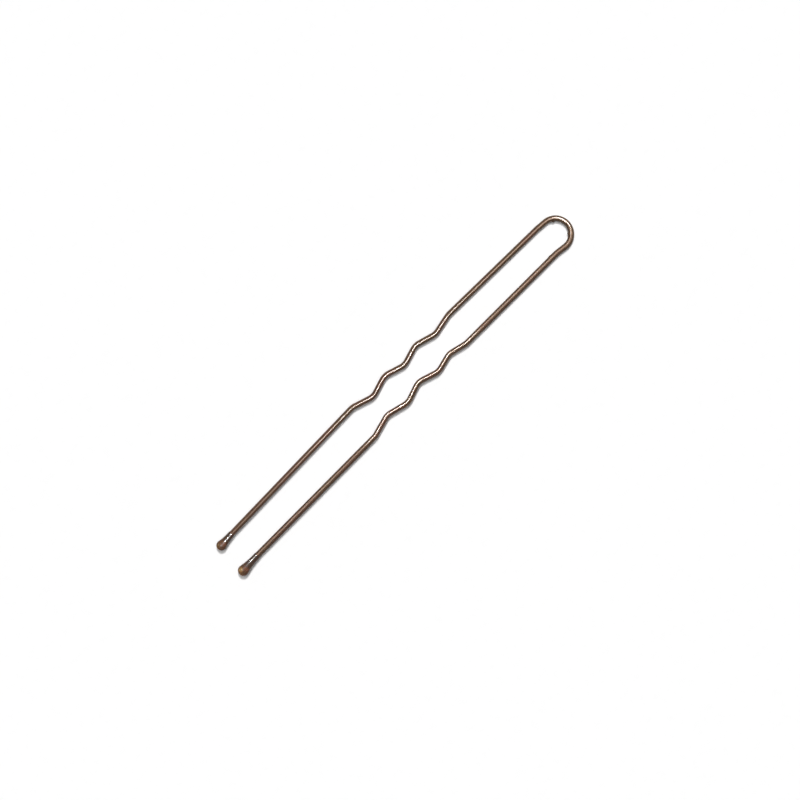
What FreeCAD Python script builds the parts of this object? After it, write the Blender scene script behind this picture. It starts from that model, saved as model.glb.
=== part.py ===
import FreeCAD, Part
import math
import os
from collections import namedtuple

# Waved U-shaped hair pin, in millimetres: one length of lacquered spring wire, bent into a bow and two
# crimped legs, with a resin drop cast over each cut end.
# The origin is the centre of the bow in the mid-plane of the wire. The bow's top points to +X, the legs
# run towards -X, the left leg lies at +Y, and the pin lies flat with +Z up.

# Wire and bow
WIRE_DIAMETER = 0.95        # steel and lacquer together
BOW_DIAMETER = 4.91         # to the centre line of the wire
HEEL_LENGTH = 1.60          # straight stretch between the bow and the slight bend into each shank
FLEX_CLEARANCE = 0.07       # between the bow and the end of each leg, so that a leg can swing

# Crimped waist: each leg steps inwards three times, in bends of one radius
CRIMP_BEND_RADIUS = 2.40    # to the centre line of the wire

# Left leg, as the photographed pin was bent: lengths run from the bow to the cut end, crimps are listed in
# the same order, and a positive splay or lean leads away from the other leg
LEFT_HEEL_SPLAY = 4.85      # degrees
LEFT_SHANK_LENGTH = 19.20
LEFT_SHANK_SPLAY = 0.92     # degrees
LEFT_WAIST_SPLAY = 0.39     # degrees
LEFT_CRIMP_PITCHES = (6.95, 6.71, 6.99)
LEFT_CRIMP_DEPTHS = (0.74, 0.80, 0.88)
LEFT_VALLEY_REACH = 0.22    # the corners between the crimps lie this far outside the line of the waist
LEFT_TAIL_LENGTH = 29.50
LEFT_TAIL_SPLAY = -1.30     # degrees
LEFT_TIP_DIAMETER = 1.60
LEFT_TIP_NECK = 2.40
LEFT_TIP_LEAN = -2.30       # degrees from the wire

# Right leg, measured in the same way
RIGHT_HEEL_SPLAY = -7.50    # degrees
RIGHT_SHANK_LENGTH = 19.82
RIGHT_SHANK_SPLAY = -0.02   # degrees
RIGHT_WAIST_SPLAY = 0.53    # degrees
RIGHT_CRIMP_PITCHES = (6.13, 6.74, 7.31)
RIGHT_CRIMP_DEPTHS = (0.75, 1.11, 0.97)
RIGHT_VALLEY_REACH = 0.00
RIGHT_TAIL_LENGTH = 29.15
RIGHT_TAIL_SPLAY = 0.28     # degrees
RIGHT_TIP_DIAMETER = 1.74
RIGHT_TIP_NECK = 3.20
RIGHT_TIP_LEAN = 2.10       # degrees from the wire

# Resin drops: a ball around the wire's cut end, drawn out into a neck along the wire
NECK_SKIN = 0.04            # thickness of the resin where the neck ends
TIP_BORE_CLEARANCE = 0.01   # between the resin and the wire that it is cast over

UP = FreeCAD.Vector(0, 0, 1)
WIRE_RADIUS = WIRE_DIAMETER / 2
BOW_RADIUS = BOW_DIAMETER / 2

Leg = namedtuple("Leg", "name side heel_splay shank_length shank_splay waist_splay crimp_pitches "
                        "crimp_depths valley_reach tail_length tail_splay tip_diameter tip_neck tip_lean")
LEFT = Leg("left", 1, LEFT_HEEL_SPLAY, LEFT_SHANK_LENGTH, LEFT_SHANK_SPLAY, LEFT_WAIST_SPLAY,
           LEFT_CRIMP_PITCHES, LEFT_CRIMP_DEPTHS, LEFT_VALLEY_REACH, LEFT_TAIL_LENGTH, LEFT_TAIL_SPLAY,
           LEFT_TIP_DIAMETER, LEFT_TIP_NECK, LEFT_TIP_LEAN)
RIGHT = Leg("right", -1, RIGHT_HEEL_SPLAY, RIGHT_SHANK_LENGTH, RIGHT_SHANK_SPLAY, RIGHT_WAIST_SPLAY,
            RIGHT_CRIMP_PITCHES, RIGHT_CRIMP_DEPTHS, RIGHT_VALLEY_REACH, RIGHT_TAIL_LENGTH,
            RIGHT_TAIL_SPLAY, RIGHT_TIP_DIAMETER, RIGHT_TIP_NECK, RIGHT_TIP_LEAN)


def heading(leg, splay):
    """Direction from the bow towards the tip on a stretch of the leg that splays by so many degrees."""
    angle = math.radians(splay)
    return FreeCAD.Vector(-math.cos(angle), leg.side * math.sin(angle), 0)


def inward(leg, splay):
    """Direction across such a stretch, towards the other leg."""
    angle = math.radians(splay)
    return FreeCAD.Vector(-math.sin(angle), -leg.side * math.cos(angle), 0)


def bow_end(leg):
    """Point of the bow where the leg leaves it on a tangent."""
    return inward(leg, leg.heel_splay) * -BOW_RADIUS


def leg_corners(leg):
    """Centre line of a leg with its bends still sharp, from the bow to the cut end of the wire."""
    leaving_bow = heading(leg, leg.heel_splay)
    along = heading(leg, leg.waist_splay)
    across = inward(leg, leg.waist_splay)
    heel = bow_end(leg) + leaving_bow * HEEL_LENGTH
    knee = heel + heading(leg, leg.shank_splay) * leg.shank_length
    corners = [bow_end(leg) + leaving_bow * FLEX_CLEARANCE, heel, knee]
    reach = 0
    for pitch, depth in zip(leg.crimp_pitches, leg.crimp_depths):
        crest = knee + along * (reach + pitch / 2) + across * depth
        reach += pitch
        valley = knee + along * reach - across * leg.valley_reach
        corners += [crest, valley]
    cut_end = corners[-1] + heading(leg, leg.tail_splay) * leg.tail_length
    return corners + [cut_end]


def rounded_path(corners, radius):
    """Straight runs through the corners, joined by tangent arcs of one radius."""
    edges = []
    run_start = corners[0]
    for before, corner, after in zip(corners, corners[1:], corners[2:]):
        arriving = (corner - before).normalize()
        leaving = (after - corner).normalize()
        half_turn = arriving.getAngle(leaving) / 2
        setback = radius * math.tan(half_turn)
        to_centre = (leaving - arriving).normalize()
        arc_start = corner - arriving * setback
        arc_middle = corner + to_centre * (radius / math.cos(half_turn) - radius)
        arc_end = corner + leaving * setback
        edges.append(Part.LineSegment(run_start, arc_start).toShape())
        edges.append(Part.Arc(arc_start, arc_middle, arc_end).toShape())
        run_start = arc_end
    edges.append(Part.LineSegment(run_start, corners[-1]).toShape())
    return edges


def wire_along(edges):
    """Round wire swept along a path of tangent edges."""
    first = edges[0]
    start = first.valueAt(first.FirstParameter)
    direction = first.tangentAt(first.FirstParameter)
    section = Part.Wire(Part.makeCircle(WIRE_RADIUS, start, direction))
    return Part.Wire(edges).makePipeShell([section], True, False)


def bow():
    """Bend between the two legs, an arc that is tangent to both of them."""
    top = FreeCAD.Vector(BOW_RADIUS, 0, 0)
    return wire_along([Part.Arc(bow_end(RIGHT), top, bow_end(LEFT)).toShape()])


def leg_stretches(leg):
    """Wire of one leg, divided at the flat sections where its crimped waist begins and ends."""
    heel, heel_bend, shank, *waist, tail = rounded_path(leg_corners(leg), CRIMP_BEND_RADIUS)
    return {
        leg.name + "_shank": wire_along([heel, heel_bend, shank]),
        leg.name + "_waist": wire_along(waist),
        leg.name + "_tail": wire_along([tail]),
    }


def drop_tip(leg):
    """Resin drop: a ball with a hollow-sided neck, cast over the end of the wire and leaning off it."""
    along_wire = heading(leg, leg.tail_splay)
    axis = heading(leg, leg.tail_splay + leg.tip_lean)
    mouth = leg_corners(leg)[-1] - along_wire * leg.tip_neck
    centre = mouth + axis * leg.tip_neck
    ball = leg.tip_diameter / 2
    rim = WIRE_RADIUS + NECK_SKIN
    # the neck's hollow arc touches the ball and runs out level with the wire
    hollow = (leg.tip_neck ** 2 - ball ** 2 + rim ** 2) / (2 * (ball - rim))
    touch = math.atan2(leg.tip_neck, rim + hollow)

    def at(along, out):
        return centre + axis * along + UP * out

    def on_ball(angle):
        return at(-ball * math.sin(angle), ball * math.cos(angle))

    def on_neck(angle):
        return at(-leg.tip_neck + hollow * math.sin(angle), rim + hollow - hollow * math.cos(angle))

    nose = at(ball, 0)
    shoulder = on_ball(touch)
    neck_end = at(-leg.tip_neck, rim)
    outline = [
        Part.Arc(nose, on_ball(-math.pi / 4), shoulder).toShape(),
        Part.Arc(shoulder, on_neck(touch / 2), neck_end).toShape(),
        Part.LineSegment(neck_end, mouth).toShape(),
        Part.LineSegment(mouth, nose).toShape(),
    ]
    drop = Part.Face(Part.Wire(outline)).revolve(centre, axis, 360)
    bore = Part.makeCylinder(WIRE_RADIUS + TIP_BORE_CLEARANCE, 2 * leg.tip_neck + TIP_BORE_CLEARANCE,
                             mouth - along_wire * leg.tip_neck, along_wire)
    return drop.cut(bore).Solids[0]


def main():
    nodes = {"bow": bow()}
    for leg in (LEFT, RIGHT):
        nodes.update(leg_stretches(leg))
        nodes[leg.name + "_tip"] = drop_tip(leg)
    os.makedirs("parts", exist_ok=True)
    for name, solid in nodes.items():
        solid.exportStep("parts/" + name + ".step")


main()
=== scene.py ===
import math
from collections import namedtuple

import bmesh
import bpy
from mathutils import Matrix, Vector


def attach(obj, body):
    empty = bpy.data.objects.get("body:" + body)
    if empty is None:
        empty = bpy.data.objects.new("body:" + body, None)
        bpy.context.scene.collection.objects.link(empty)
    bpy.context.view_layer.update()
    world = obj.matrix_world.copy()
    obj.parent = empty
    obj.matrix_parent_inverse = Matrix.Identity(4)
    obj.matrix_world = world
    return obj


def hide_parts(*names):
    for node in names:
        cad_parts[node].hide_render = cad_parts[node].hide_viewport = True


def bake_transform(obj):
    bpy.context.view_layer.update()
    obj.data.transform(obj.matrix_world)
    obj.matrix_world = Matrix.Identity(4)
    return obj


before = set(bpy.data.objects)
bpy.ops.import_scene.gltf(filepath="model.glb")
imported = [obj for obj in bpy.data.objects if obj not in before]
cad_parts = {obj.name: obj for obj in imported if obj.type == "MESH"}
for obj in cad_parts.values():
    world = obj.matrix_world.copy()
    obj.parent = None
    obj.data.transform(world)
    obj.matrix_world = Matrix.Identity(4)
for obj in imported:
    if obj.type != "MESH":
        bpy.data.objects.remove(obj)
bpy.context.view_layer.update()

# Waved hair pin of brown lacquered wire with a resin drop on each cut end, in metres.
# The wire is one unbroken length. It is made in two halves that meet at the top of the bow, and each half
# bends smoothly from the bow into its own leg.

MM = 0.001
UP = Vector((0, 0, 1))

# Wire and bow
WIRE_RADIUS = 0.4725 * MM       # a hair inside the solid wire
WIRE_SIDES = 48
BOW_RADIUS = 2.455 * MM
HEEL_LENGTH = 1.60 * MM
BEND_RADIUS = 2.40 * MM
FEED_STEP = 0.16 * MM
BEND_STEP = math.radians(2.5)

# Resin drops
LIP_RADIUS = 0.03 * MM          # rounded rim where the resin runs out on the wire
LIP_STEPS = 6
NECK_STEPS = 28
BALL_STEPS = 36
DROP_SIDES = 72
MERGE_REACH = 1e-4 * MM

# The two legs, as the photographed pin was bent: lengths in millimetres, splays and leans in degrees, and
# crimps listed from the bow towards the tip
Leg = namedtuple("Leg", "side heel_splay shank_length shank_splay waist_splay crimp_pitches crimp_depths "
                        "valley_reach tail_length tail_splay drop_radius drop_neck drop_lean")
LEGS = {
    "left": Leg(side=1, heel_splay=4.85, shank_length=19.20, shank_splay=0.92, waist_splay=0.39,
                crimp_pitches=(6.95, 6.71, 6.99), crimp_depths=(0.74, 0.80, 0.88), valley_reach=0.22,
                tail_length=29.50, tail_splay=-1.30, drop_radius=0.795, drop_neck=2.40, drop_lean=-2.30),
    "right": Leg(side=-1, heel_splay=-7.50, shank_length=19.82, shank_splay=-0.02, waist_splay=0.53,
                 crimp_pitches=(6.13, 6.74, 7.31), crimp_depths=(0.75, 1.11, 0.97), valley_reach=0.00,
                 tail_length=29.15, tail_splay=0.28, drop_radius=0.862, drop_neck=3.20, drop_lean=2.10),
}

# Beads of lacquer that dried on the inside of the wire: leg, place, radius of the foot, height
Bead = namedtuple("Bead", "leg place foot height")
BEADS = (
    Bead("left", Vector((1.12, 1.70, 0.05)) * MM, 0.28 * MM, 0.22 * MM),
    Bead("right", Vector((1.40, -1.36, 0.10)) * MM, 0.30 * MM, 0.20 * MM),
    Bead("right", Vector((-3.05, -1.80, 0.05)) * MM, 0.40 * MM, 0.05 * MM),
)

# Where the lacquer of the right leg turns dull and glossy again, each a smooth change between two places on
# the wire: millimetres from the top of the bow, below zero on the right leg
SHANK_TURNS_DULL = (-1.0, -2.6)
WAIST_TURNS_GLOSSY = (-22.0, -25.0)
TAIL_TURNS_DULL = (-46.0, -49.0)
COAT_IOR = 1.25                 # of lacquer and resin

# Camera, and the directions of the picture on the floor
IMAGE_UP = Vector((1, 1, 0)).normalized()
IMAGE_RIGHT = Vector((1, -1, 0)).normalized()
IMAGE_TURN = math.radians(-45)
PICTURE_CENTRE = Vector((-35.21, -1.15, 0)) * MM
PICTURE_WIDTH = 124 * MM
SENSOR_WIDTH = 36               # this and the lens are in millimetres
LENS = 100
FLOOR_RADIUS = 4.0
FLOOR_SIDES = 96

# Soft lights, with angles in degrees: where they stand by the picture, and how wide they look from the pin
SoftLight = namedtuple("SoftLight", "image_angle tilt strength width")
SOFT_LIGHTS = {
    "key": SoftLight(image_angle=90, tilt=29.5, strength=2.3, width=11),
    "fill": SoftLight(image_angle=135, tilt=8, strength=1.05, width=30),
}

# What the strip lights are aimed at
BOW = Vector((0, 0, 0))
WAIST = Vector((-32, 0, 0)) * MM
TIPS = Vector((-70, 0, 0)) * MM

# Broad strip light over the bow, with angles in degrees
BOW_STRIP_IMAGE_ANGLE = 60
BOW_STRIP_TILT = 24.6
BOW_STRIP_DISTANCE = 150 * MM
BOW_STRIP_LENGTH = 60 * MM
BOW_STRIP_WIDTH = 56 * MM
BOW_STRIP_IRRADIANCE = 17.0

# Rows of narrow strip lights over the pin: how far across it a row hangs, and for each of its strips the
# place along the pin and the irradiance, with places in millimetres
STRIP_HEIGHT = 400 * MM
STRIP_LENGTH = 120 * MM
STRIP_WIDTH = 6 * MM
StripRow = namedtuple("StripRow", "across strips")
WAIST_STRIPS = {
    "left": StripRow(20, ((-14, 2.0), (-30, 2.0), (-47, 1.7))),
    "right": StripRow(160, ((26, 3.2), (0, 1.7), (-26, 2.2), (-55, 2.4), (-88, 3.4))),
}
DROP_STRIPS = {
    "left": StripRow(0, ((4, 6.0), (-39, 6.0), (-98, 6.0))),
    "right": StripRow(200, ((-45, 3.5), (-65, 3.5), (-107, 3.5))),
}


# Forming the wire

def heading(leg, splay):
    """Direction from the bow towards the tip on a stretch that splays by so many degrees."""
    angle = math.radians(splay)
    return Vector((-math.cos(angle), leg.side * math.sin(angle), 0))


def inward(leg, splay):
    """Direction across such a stretch, towards the other leg."""
    angle = math.radians(splay)
    return Vector((-math.sin(angle), -leg.side * math.cos(angle), 0))


def leg_corners(leg):
    """Centre line of a leg with its bends still sharp, from the end of the bow to the cut end."""
    along = heading(leg, leg.waist_splay)
    across = inward(leg, leg.waist_splay)
    bow_end = inward(leg, leg.heel_splay) * -BOW_RADIUS
    heel = bow_end + heading(leg, leg.heel_splay) * HEEL_LENGTH
    knee = heel + heading(leg, leg.shank_splay) * (leg.shank_length * MM)
    corners = [bow_end, heel, knee]
    reach = 0
    for pitch, depth in zip(leg.crimp_pitches, leg.crimp_depths):
        corners.append(knee + (along * (reach + pitch / 2) + across * depth) * MM)
        reach += pitch
        corners.append(knee + (along * reach - across * leg.valley_reach) * MM)
    return corners + [corners[-1] + heading(leg, leg.tail_splay) * (leg.tail_length * MM)]


def turn_between(arriving, leaving):
    """Angle in the plane of the pin from one direction to the next, to the left as seen from above."""
    return math.atan2(arriving.cross(leaving).z, arriving.dot(leaving))


def standing_along(direction):
    """Turns a shape whose axis is Z so that it lies along a direction in the plane of the pin."""
    return Matrix((UP.cross(direction), UP, direction)).transposed().to_4x4()


class WireBender:
    """Feeds a round wire and bends it in the plane of the pin, as a forming machine does.

    Each vertex keeps its place on the wire before bending, and how far a bend stretches the lacquer there.
    """

    def __init__(self, start, direction, side, curvature):
        self.mesh = bmesh.new()
        self.straight_place = self.mesh.verts.layers.float_vector.new("straight_place")
        self.stretch = self.mesh.verts.layers.float.new("stretch")
        self.point = start.copy()
        self.direction = direction.copy()
        self.side = side
        circle = bmesh.ops.create_circle(self.mesh, cap_ends=True, segments=WIRE_SIDES, radius=WIRE_RADIUS)
        for vert in circle["verts"]:
            vert[self.straight_place] = (0, side * vert.co.x, vert.co.y)
            vert[self.stretch] = -curvature * vert.co.x
        stand = Matrix.Translation(start) @ standing_along(direction)
        bmesh.ops.transform(self.mesh, matrix=stand, verts=circle["verts"])
        self.end = self.mesh.faces[:][0]

    def push(self, advance, move, curvature):
        """Draws the end of the wire out by one step."""
        grown = bmesh.ops.extrude_face_region(self.mesh, geom=[self.end])["geom"]
        verts = [item for item in grown if isinstance(item, bmesh.types.BMVert)]
        self.end = next(item for item in grown if isinstance(item, bmesh.types.BMFace))
        bmesh.ops.transform(self.mesh, matrix=move, verts=verts)
        for vert in verts:
            place = vert[self.straight_place] + Vector((self.side * advance, 0, 0))
            vert[self.straight_place] = place
            vert[self.stretch] = -curvature * self.side * place.y
        self.point = move @ self.point
        self.direction = move.to_3x3() @ self.direction

    def feed(self, length):
        """Lets out a straight length."""
        steps = max(1, round(length / FEED_STEP))
        for _ in range(steps):
            self.push(length / steps, Matrix.Translation(self.direction * (length / steps)), 0)

    def bend(self, turn, radius):
        """Bends an arc, to the left where the turn is above zero."""
        to_left = math.copysign(1, turn)
        centre = self.point + UP.cross(self.direction) * (to_left * radius)
        steps = max(2, math.ceil(abs(turn) / BEND_STEP))
        swing = Matrix.Rotation(turn / steps, 4, "Z")
        move = Matrix.Translation(centre) @ swing @ Matrix.Translation(-centre)
        for _ in range(steps):
            self.push(radius * abs(turn) / steps, move, to_left / radius)

    def follow(self, corners, radius):
        """Runs through the corners, each rounded by a bend of one radius, to the last of them."""
        setback = 0
        for before, corner, after in zip(corners, corners[1:], corners[2:]):
            turn = turn_between(corner - before, after - corner)
            next_setback = radius * math.tan(abs(turn) / 2)
            self.feed((corner - before).length - setback - next_setback)
            self.bend(turn, radius)
            setback = next_setback
        self.feed((corners[-1] - corners[-2]).length - setback)


def raise_bead(mesh, bead):
    """Swells the surface of the wire into a low rounded bead of lacquer."""
    mesh.normal_update()
    for vert in mesh.verts:
        nearness = 1 - (vert.co - bead.place).length_squared / bead.foot ** 2
        if nearness > 0:
            vert.co += vert.normal * (bead.height * nearness ** 2)


def place_in_scene(name, data):
    thing = bpy.data.objects.new(name, data)
    bpy.context.scene.collection.objects.link(thing)
    return thing


def finish_mesh(mesh, name, material):
    """Makes a scene object of a mesh, smooth all over except at edges marked as sharp."""
    bmesh.ops.recalc_face_normals(mesh, faces=mesh.faces[:])
    for face in mesh.faces:
        face.smooth = True
    data = bpy.data.meshes.new(name)
    mesh.to_mesh(data)
    mesh.free()
    data.materials.append(material)
    return place_in_scene(name, data)


def half_wire(name, leg, material):
    """Half of the bow with one whole leg, from the top of the bow to the cut end inside the drop."""
    corners = leg_corners(leg)
    top = Vector((BOW_RADIUS, 0, 0))
    sideways = Vector((0, leg.side, 0))
    bender = WireBender(top, sideways, leg.side, leg.side / BOW_RADIUS)
    bender.bend(turn_between(sideways, corners[1] - corners[0]), BOW_RADIUS)
    bender.follow(corners, BEND_RADIUS)
    for bead in BEADS:
        if bead.leg == name:
            raise_bead(bender.mesh, bead)
    flat_ends = [face for face in bender.mesh.faces if len(face.verts) == WIRE_SIDES]
    for face in flat_ends:
        for edge in face.edges:
            edge.smooth = False
    return finish_mesh(bender.mesh, "wire_" + name + "_half", material)


# Casting the drops

def ball_centre(leg):
    """Middle of a drop's ball, which leans off the wire, and the direction of the drop's axis."""
    neck = leg.drop_neck * MM
    axis = heading(leg, leg.tail_splay + leg.drop_lean)
    mouth = leg_corners(leg)[-1] - heading(leg, leg.tail_splay) * neck
    return mouth + axis * neck, axis


def drop(name, leg, material):
    """Resin drop: a ball on the cut end that runs out along the wire in a hollow-sided neck.

    The hollow side is an arc that touches the ball and runs out along the wire at the rim.
    """
    centre, axis = ball_centre(leg)
    ball = leg.drop_radius * MM
    neck = leg.drop_neck * MM
    rim = WIRE_RADIUS + 2 * LIP_RADIUS
    hollow = (neck ** 2 - ball ** 2 + rim ** 2) / (2 * (ball - rim))
    touch = math.atan2(neck, rim + hollow)

    mesh = bmesh.new()
    drop_place = mesh.verts.layers.float_vector.new("drop_place")
    outline = [mesh.verts.new((0, 0, ball))]
    arcs = (
        ((0, 0, 0), math.pi / 2 + touch, BALL_STEPS),
        ((rim + hollow, 0, -neck), -touch, NECK_STEPS),
        ((rim - LIP_RADIUS, 0, -neck), math.pi, LIP_STEPS),
    )
    for pivot, angle, steps in arcs:
        spun = bmesh.ops.spin(mesh, geom=outline, cent=pivot, axis=(0, 1, 0), angle=angle, steps=steps)
        outline = [item for item in spun["geom_last"] if isinstance(item, bmesh.types.BMVert)]
    closing = bmesh.ops.extrude_vert_indiv(mesh, verts=outline)["verts"]
    closing[0].co.x = 0
    bmesh.ops.spin(mesh, geom=mesh.verts[:] + mesh.edges[:], cent=(0, 0, 0), axis=UP, angle=2 * math.pi,
                   steps=DROP_SIDES, use_merge=True)
    bmesh.ops.remove_doubles(mesh, verts=mesh.verts[:], dist=MERGE_REACH)
    for vert in mesh.verts:
        vert[drop_place] = vert.co
    stand = Matrix.Translation(centre) @ standing_along(axis)
    bmesh.ops.transform(mesh, matrix=stand, verts=mesh.verts[:])
    return finish_mesh(mesh, name + "_drop", material)


# Finishes

class Signal:
    """A socket of a finish; arithmetic on it adds Math nodes."""

    def __init__(self, finish, socket):
        self.finish = finish
        self.socket = socket

    def math(self, operation, first, second):
        return self.finish.node("ShaderNodeMath", {"operation": operation}, {0: first, 1: second})

    def __abs__(self):
        return self.math("ABSOLUTE", self, 0)

    def __add__(self, other):
        return self.math("ADD", self, other)

    def __sub__(self, other):
        return self.math("SUBTRACT", self, other)

    def __rsub__(self, other):
        return self.math("SUBTRACT", other, self)

    def __mul__(self, other):
        return self.math("MULTIPLY", self, other)

    __radd__ = __add__
    __rmul__ = __mul__


class Finish:
    """The nodes of a material or of the sky: one method adds any node."""

    def __init__(self, owner):
        self.owner = owner
        owner.use_nodes = True
        self.tree = owner.node_tree
        self.tree.nodes.clear()

    def node(self, kind, settings, sockets, output=0):
        """Adds a node: its settings first, then the values or links of its sockets. Gives one output."""
        node = self.tree.nodes.new(kind)
        for name, value in settings.items():
            setattr(node, name, value)
        for name, value in sockets.items():
            if isinstance(value, Signal):
                self.tree.links.new(value.socket, node.inputs[name])
            else:
                node.inputs[name].default_value = value
        return Signal(self, node.outputs[output]) if node.outputs else None

    def attribute(self, name, output):
        return self.node("ShaderNodeAttribute", {"attribute_name": name}, {}, output)

    def coordinates(self, output):
        return self.node("ShaderNodeTexCoord", {}, {}, output)

    def millimetres(self, name, squeeze=(1, 1, 1)):
        """A place stored on the piece, in millimetres, squeezed along its axes."""
        scale = [share / MM for share in squeeze]
        return self.node("ShaderNodeVectorMath", {"operation": "MULTIPLY"},
                         {0: self.attribute(name, "Vector"), 1: scale})

    def part_of(self, vector, axis):
        return self.node("ShaderNodeSeparateXYZ", {}, {"Vector": vector}, axis)

    def distance(self, place, point):
        return self.node("ShaderNodeVectorMath", {"operation": "DISTANCE"}, {0: place, 1: point}, "Value")

    def noise(self, place, scale, detail):
        return self.node("ShaderNodeTexNoise", {}, {"Vector": place, "Scale": scale, "Detail": detail})

    def step(self, value, start, end):
        """Goes smoothly from 0 to 1 as the value goes from start to end, upwards or downwards."""
        return self.node("ShaderNodeMapRange", {"interpolation_type": "SMOOTHSTEP"},
                         {"Value": value, "From Min": start, "From Max": end})

    def mix(self, factor, first, second):
        """Colour between two colours; the Mix node keeps them in sockets 6 and 7, and the result in 2."""
        return self.node("ShaderNodeMix", {"data_type": "RGBA"}, {0: factor, 6: first, 7: second}, 2)

    def bump(self, height, depth, strength):
        return self.node("ShaderNodeBump", {}, {"Height": height, "Distance": depth, "Strength": strength})

    def close(self, sockets):
        """Puts the surface together and hands over the material."""
        surface = self.node("ShaderNodeBsdfPrincipled", {}, sockets)
        self.node("ShaderNodeOutputMaterial", {}, {"Surface": surface})
        return self.owner


def lacquered_steel():
    """Brown lacquer over drawn steel: streaky along the wire, mottled, thinner where a bend stretched it.

    On the straight stretches of the right leg it is darker and duller.
    """
    finish = Finish(bpy.data.materials.new("brown_lacquer_on_steel"))
    place = finish.millimetres("straight_place")
    along = finish.part_of(place, "X")
    drawn_place = finish.millimetres("straight_place", squeeze=(0.06, 1, 1))
    streaks = finish.noise(drawn_place, scale=9.0, detail=3.0)
    mottle = finish.step(finish.noise(place, scale=0.55, detail=3.0), start=0.36, end=0.64)
    dull_shank = finish.step(along, *SHANK_TURNS_DULL) - finish.step(along, *WAIST_TURNS_GLOSSY)
    dull = dull_shank + finish.step(along, *TAIL_TURNS_DULL)
    redder_towards_tips = abs(along) * 0.003
    patches = finish.noise(place, scale=0.22, detail=1.0)
    warmth = finish.step(patches + redder_towards_tips, start=0.46, end=0.76)
    peel = finish.noise(place, scale=5.0, detail=2.0)
    pits = finish.step(finish.noise(place, scale=16.0, detail=1.0), start=0.70, end=0.78)
    stretched = finish.step(finish.attribute("stretch", "Fac"), start=0.03, end=0.20)

    olive_brown = (0.082, 0.050, 0.026, 1)
    red_brown = (0.096, 0.045, 0.029, 1)
    thick_brown = (0.060, 0.033, 0.021, 1)
    thin_brown = (0.135, 0.086, 0.058, 1)
    pit_brown = (0.030, 0.017, 0.012, 1)
    colour = finish.mix(warmth, olive_brown, red_brown)
    colour = finish.mix(mottle * 0.55, colour, thick_brown)
    colour = finish.mix(streaks * 0.30, colour, thin_brown)
    colour = finish.mix(stretched * 0.45, colour, thin_brown)
    colour = finish.mix(dull * 0.5, colour, thick_brown)
    colour = finish.mix(pits * 0.6, colour, pit_brown)
    relief = streaks * 0.6 + peel * 0.4 - pits * 0.5
    return finish.close({
        "Base Color": colour,
        "Metallic": 0.04 + 0.06 * streaks + 0.10 * stretched,
        "Roughness": 0.28 + 0.06 * streaks + 0.18 * dull,
        "Specular IOR Level": 0.15,
        "Specular Tint": (1.0, 0.72, 0.56, 1),
        "Coat Weight": (1.0 - 0.35 * pits) * (1.0 - 0.92 * dull),
        "Coat Roughness": 0.14,
        "Coat IOR": COAT_IOR,
        "Normal": finish.bump(relief, depth=0.006 * MM, strength=0.4),
    })


def drop_resin():
    """Amber-brown resin, dark over the wire, with a painted golden and reddish glow where light gathers in
    the ball.
    """
    finish = Finish(bpy.data.materials.new("amber_brown_resin"))
    place = finish.millimetres("drop_place")
    towards_nose = finish.part_of(place, "Z")
    in_scene = finish.coordinates("Object")
    on_right = finish.step(finish.part_of(in_scene, "Y"), start=1.0 * MM, end=-1.0 * MM)
    swirl = finish.noise(in_scene, scale=1100.0, detail=3.0)
    grain = finish.noise(place, scale=7.0, detail=2.0)

    def swirled(value, reach):
        """Moves a value up and down with the swirl, so that what is made from it has an uneven edge."""
        return value + swirl * reach - reach / 2

    # Centres of the painted reddish and golden glows, which stand in for light gathered inside the resin
    # ball
    from_painted_red_light = finish.distance(place, (0.15, 0.55, -0.45))
    from_painted_gold_light = finish.distance(place, (-0.30, 0.60, 0.12))
    ball = finish.step(swirled(towards_nose, 0.6), start=-1.5, end=-0.3)
    nose = finish.step(swirled(towards_nose, 0.3), start=0.30, end=0.75)
    painted_red_light = finish.step(swirled(from_painted_red_light, 0.3), start=0.60, end=0.10)
    painted_gold_light = finish.step(swirled(from_painted_gold_light, 0.3), start=0.55, end=0.10)
    matt_ball = finish.step(towards_nose, start=-0.85, end=-0.50)

    neck_brown = (0.066, 0.038, 0.026, 1)
    chestnut = (0.110, 0.056, 0.030, 1)
    painted_red_light_colour = (0.200, 0.080, 0.048, 1)
    painted_gold_light_colour = (0.400, 0.240, 0.095, 1)
    dark_amber = (0.210, 0.092, 0.028, 1)
    colour = finish.mix(ball, neck_brown, chestnut)
    colour = finish.mix(nose * 0.8, colour, dark_amber)
    # Painted glow: reddish and golden light gathered in the ball is painted into the colour, the golden
    # glow stronger on the right drop
    colour = finish.mix(painted_red_light * 0.8, colour, painted_red_light_colour)
    colour = finish.mix(painted_gold_light * (0.15 + 0.75 * on_right), colour, painted_gold_light_colour)
    return finish.close({
        "Base Color": colour,
        "Roughness": 0.38 + 0.12 * grain,
        "Specular IOR Level": 0.08,
        "Subsurface Weight": 0.25,
        "Subsurface Radius": (1.0, 0.45, 0.15),
        "Subsurface Scale": 0.3 * MM,
        "Coat Weight": 1.0 - 0.9 * matt_ball,
        "Coat Roughness": 0.10,
        "Coat IOR": COAT_IOR,
        "Normal": finish.bump(swirl + grain * 0.15, depth=0.004 * MM, strength=0.2),
    })


def pale_paper():
    """Nearly white paper with faint fibres."""
    finish = Finish(bpy.data.materials.new("pale_paper"))
    fibres = finish.noise(finish.coordinates("Object"), scale=900.0, detail=3.0)
    greyer_white = (0.88, 0.88, 0.88, 1)
    fibre_white = (0.92, 0.92, 0.92, 1)
    return finish.close({
        "Base Color": finish.mix(fibres, greyer_white, fibre_white),
        "Roughness": 0.8,
        "Specular IOR Level": 0.1,
    })


# Setting out the picture

def toward(image_angle, tilt):
    """Direction from the pin, by its angle in the picture from the right and its tilt from straight up."""
    angle = math.radians(image_angle)
    lean = math.radians(tilt)
    flat = IMAGE_RIGHT * math.cos(angle) + IMAGE_UP * math.sin(angle)
    return UP * math.cos(lean) + flat * math.sin(lean)


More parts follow.
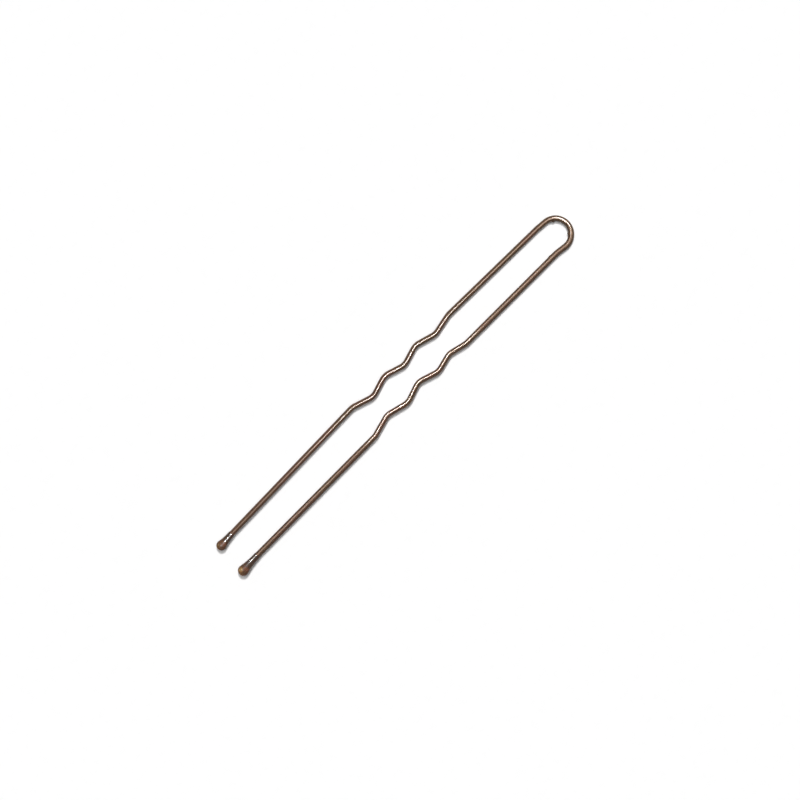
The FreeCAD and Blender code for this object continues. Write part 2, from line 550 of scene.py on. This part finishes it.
def floor():
    """Pale sheet that touches both drops and the bow from below."""
    left, right = (ball_centre(leg)[0] - UP * (leg.drop_radius * MM) for leg in LEGS.values())
    bow = Vector((BOW_RADIUS, 0, -WIRE_RADIUS))
    normal = (left - bow).cross(right - bow).normalized()
    mesh = bmesh.new()
    bmesh.ops.create_circle(mesh, cap_ends=True, segments=FLOOR_SIDES, radius=FLOOR_RADIUS)
    lay = Matrix.Translation(bow) @ normal.to_track_quat("Z", "Y").to_matrix().to_4x4()
    bmesh.ops.transform(mesh, matrix=lay, verts=mesh.verts[:])
    finish_mesh(mesh, "floor", pale_paper())


def camera():
    """Looks straight down, turned so that the pin lies aslant in the picture."""
    data = bpy.data.cameras.new("camera")
    data.sensor_width = SENSOR_WIDTH
    data.lens = LENS
    eye = place_in_scene("camera", data)
    eye.location = PICTURE_CENTRE + UP * (PICTURE_WIDTH * LENS / SENSOR_WIDTH)
    eye.rotation_euler = (0, 0, IMAGE_TURN)
    bpy.context.scene.camera = eye


def sky():
    """Soft room light: pale at the horizon, dim above it and brighter again overhead."""
    finish = Finish(bpy.data.worlds.new("studio"))
    height = finish.part_of(finish.coordinates("Generated"), "Z")
    dimming = 0.20 * finish.step(height, start=0.0, end=0.14)
    overhead = 0.18 * finish.step(height, start=0.70, end=0.95)
    background = finish.node("ShaderNodeBackground", {}, {"Color": 0.30 - dimming + overhead})
    finish.node("ShaderNodeOutputWorld", {}, {"Surface": background})
    bpy.context.scene.world = finish.owner


def soft_light(name, light):
    """Far-off light that brightens surfaces and casts a soft shadow, but shows in no gloss."""
    data = bpy.data.lights.new(name, "SUN")
    data.energy = light.strength
    data.angle = math.radians(light.width)
    sun = place_in_scene(name, data)
    sun.visible_glossy = False
    sun.rotation_euler = toward(light.image_angle, light.tilt).to_track_quat("Z", "Y").to_euler()


def gloss_strip(name, place, aim, length, width, irradiance, pieces):
    """Strip light across the pin that only shows in the gloss of some pieces.

    The irradiance is in watts per square metre, on a sheet that faces the strip at its aim.
    """
    reach = place - aim
    back = reach.normalized()
    narrow = Vector((0, 1, 0)).cross(back).normalized()
    data = bpy.data.lights.new(name, "AREA")
    data.shape = "RECTANGLE"
    data.size = width
    data.size_y = length
    data.energy = irradiance * math.pi * reach.length_squared
    strip = place_in_scene(name, data)
    strip.location = place
    strip.rotation_euler = Matrix((narrow, back.cross(narrow), back)).transposed().to_euler()
    strip.visible_camera = False
    strip.visible_diffuse = False
    lit = bpy.data.collections.new(name + "_pieces")
    for piece in pieces:
        lit.objects.link(piece)
    strip.light_linking.receiver_collection = lit


def strip_row(name, row, aim, piece):
    """Row of narrow strips over the pin that shows in one piece alone."""
    for along, irradiance in row.strips:
        place = Vector((along * MM, row.across * MM, STRIP_HEIGHT))
        gloss_strip(name, place, aim, STRIP_LENGTH, STRIP_WIDTH, irradiance, [piece])


def light_the_pin(wires, drops):
    sky()
    for name, light in SOFT_LIGHTS.items():
        soft_light(name, light)
    bow_strip_place = BOW + toward(BOW_STRIP_IMAGE_ANGLE, BOW_STRIP_TILT) * BOW_STRIP_DISTANCE
    gloss_strip("bow_strip", bow_strip_place, BOW, BOW_STRIP_LENGTH, BOW_STRIP_WIDTH, BOW_STRIP_IRRADIANCE,
                wires.values())
    for name, wire in wires.items():
        strip_row(name + "_waist_strip", WAIST_STRIPS[name], WAIST, wire)
    for name, tip in drops.items():
        strip_row(name + "_drop_strip", DROP_STRIPS[name], TIPS, tip)
    bpy.context.scene.view_settings.view_transform = "Standard"


def main():
    lacquer = lacquered_steel()
    resin = drop_resin()
    wires = {}
    drops = {}
    for name, leg in LEGS.items():
        body = name + "_leg"
        wire = half_wire(name, leg, lacquer)
        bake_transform(wire)
        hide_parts("bow", name + "_shank", name + "_waist", name + "_tail")
        tip = drop(name, leg, resin)
        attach(tip, body)
        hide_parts(name + "_tip")
        wires[name] = wire
        drops[name] = tip
    floor()
    camera()
    light_the_pin(wires, drops)


main()
